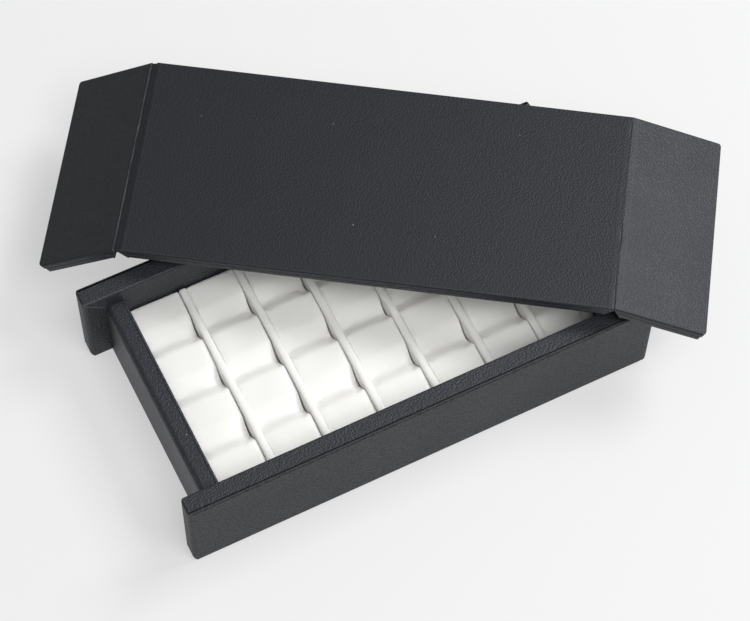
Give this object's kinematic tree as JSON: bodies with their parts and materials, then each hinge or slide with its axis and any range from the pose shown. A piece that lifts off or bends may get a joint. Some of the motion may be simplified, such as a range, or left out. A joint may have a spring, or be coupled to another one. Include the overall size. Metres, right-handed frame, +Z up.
{
  "type": "mineral specimen box",
  "caption": "Shallow covered tray with padded wavy columns for small stones, and a loose lid whose two end flaps fold down between the tray's long walls.",
  "frame": {"origin": "centre of the tray's underside, where it stands", "axes": "+X along the tray's long walls, +Y towards its rear wall, +Z up"},
  "size_m": [0.2692, 0.2215, 0.0554],
  "materials": {
    "leatherette": "fine pebble grain, satin",
    "lining": "fine pebble grain, satin",
    "board": "fibreboard, dyed dark",
    "card": "card, dyed dark",
    "pad": "matte white covering over foam",
    "divider": "matte white covering over card",
    "magnet": "plated"
  },
  "bodies": {
    "tray": {"base_lining": "lining", "base_board": "board", "front_wall_board": "board", "front_wall_wrap": "leatherette", "front_rim_lining": "lining", "rear_wall_board": "board", "rear_wall_wrap": "leatherette", "rear_rim_lining": "lining", "left_end_board": "board", "left_end_wrap": "leatherette", "left_end_magnets": "magnet", "right_end_board": "board", "right_end_wrap": "leatherette", "right_end_magnets": "magnet", "insert_board": "board", "pad_card_1": "card", "pad_card_2": "card", "pad_card_3": "card", "pad_card_4": "card", "pad_card_5": "card", "pad_card_6": "card", "pad_card_7": "card", "pad_1": "pad", "pad_2": "pad", "pad_3": "pad", "pad_4": "pad", "pad_5": "pad", "pad_6": "pad", "pad_7": "pad", "divider_1": "divider", "divider_2": "divider", "divider_3": "divider", "divider_4": "divider", "divider_5": "divider", "divider_6": "divider"},
    "lid": {"lid_outer_board": "board", "lid_skin": "leatherette", "lid_inner_board": "board", "lid_lining": "lining", "lid_pad_foam": "pad", "lid_pad_cover": "pad", "left_crease_skin": "leatherette", "left_crease_lining": "lining", "right_crease_skin": "leatherette", "right_crease_lining": "lining"},
    "left_flap": {"left_flap_outer_board": "board", "left_flap_skin": "leatherette", "left_flap_inner_board": "board", "left_flap_lining": "lining", "left_flap_magnets": "magnet"},
    "right_flap": {"right_flap_outer_board": "board", "right_flap_skin": "leatherette", "right_flap_inner_board": "board", "right_flap_lining": "lining", "right_flap_magnets": "magnet"}
  },
  "joints": [
    {"name": "lid_lift", "type": "slide", "parent": "tray", "child": "lid", "axis": [0, 0, 1], "range_m": [0, 0.08]},
    {"name": "left_fold", "type": "hinge", "parent": "lid", "child": "left_flap", "pos_m": [-0.05595, 0.0941, 0.0542], "axis": [-0.5592, -0.829, 0], "range_deg": [-33, 57], "deforming": ["left_crease_skin", "left_crease_lining"]},
    {"name": "right_fold", "type": "hinge", "parent": "lid", "child": "right_flap", "pos_m": [0.10655, -0.0155, 0.0542], "axis": [0.5592, 0.829, 0], "range_deg": [-18.6, 0], "deforming": ["right_crease_skin", "right_crease_lining"]}
  ]
}
